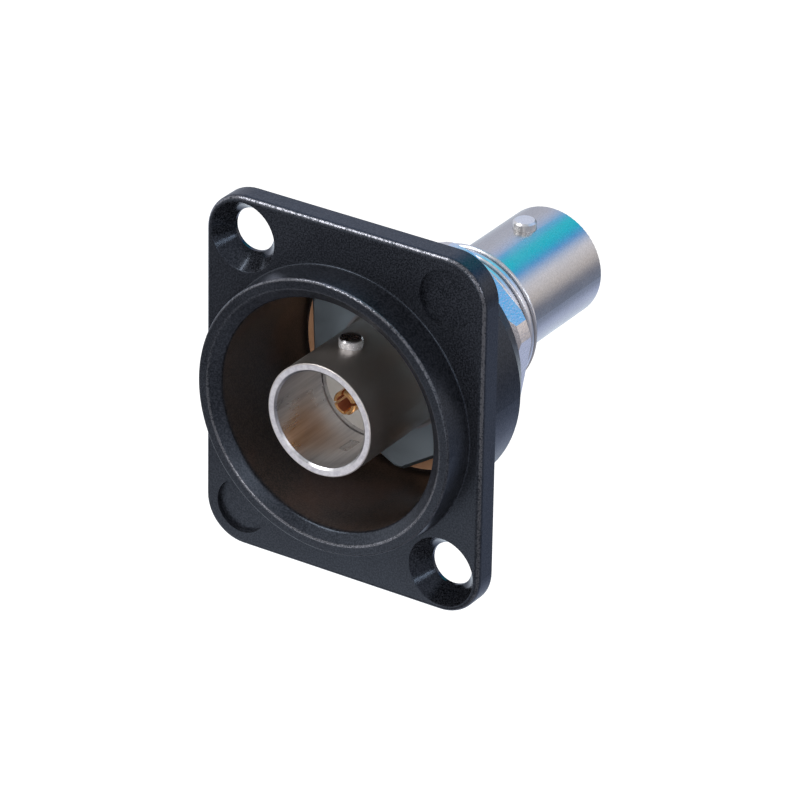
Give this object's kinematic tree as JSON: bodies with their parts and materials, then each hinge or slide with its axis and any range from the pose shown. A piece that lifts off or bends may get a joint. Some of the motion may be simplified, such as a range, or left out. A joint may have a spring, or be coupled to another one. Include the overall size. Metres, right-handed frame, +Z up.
{
  "type": "bnc panel socket",
  "caption": "Panel-mount BNC feedthrough socket: black flange housing with a collar and a deep round pocket, holding a nickel-plated jack with bayonet lugs at each end.",
  "frame": {"origin": "on the jack's axis, in the plane of the flange's rear face, which seats on the panel", "axes": "+Y along the jack's axis to the rear, +X to the right seen from the front, +Z up, through the upper bayonet lugs"},
  "size_m": [0.026, 0.0344, 0.031],
  "materials": {
    "housing": "black, fine grained, satin",
    "insulating_washer": "amber brown, satin",
    "insulating_bush": "amber brown, satin",
    "lock_washer": "zinc plated",
    "hex_nut": "nickel plated, satin",
    "front_shell": "nickel plated, satin, turned",
    "rear_barrel": "nickel plated, satin, turned",
    "front_lug_top": "nickel plated, satin",
    "front_lug_bottom": "nickel plated, satin",
    "rear_lug_top": "nickel plated, satin",
    "rear_lug_bottom": "nickel plated, satin",
    "front_insulator": "white, turned",
    "rear_insulator": "white, turned",
    "centre_contact": "gold plated"
  },
  "bodies": {
    "root": {"housing": "housing", "insulating_washer": "insulating_washer", "insulating_bush": "insulating_bush", "lock_washer": "lock_washer", "hex_nut": "hex_nut", "front_shell": "front_shell", "rear_barrel": "rear_barrel", "front_lug_top": "front_lug_top", "front_lug_bottom": "front_lug_bottom", "rear_lug_top": "rear_lug_top", "rear_lug_bottom": "rear_lug_bottom", "front_insulator": "front_insulator", "rear_insulator": "rear_insulator", "centre_contact": "centre_contact"}
  },
  "joints": []
}
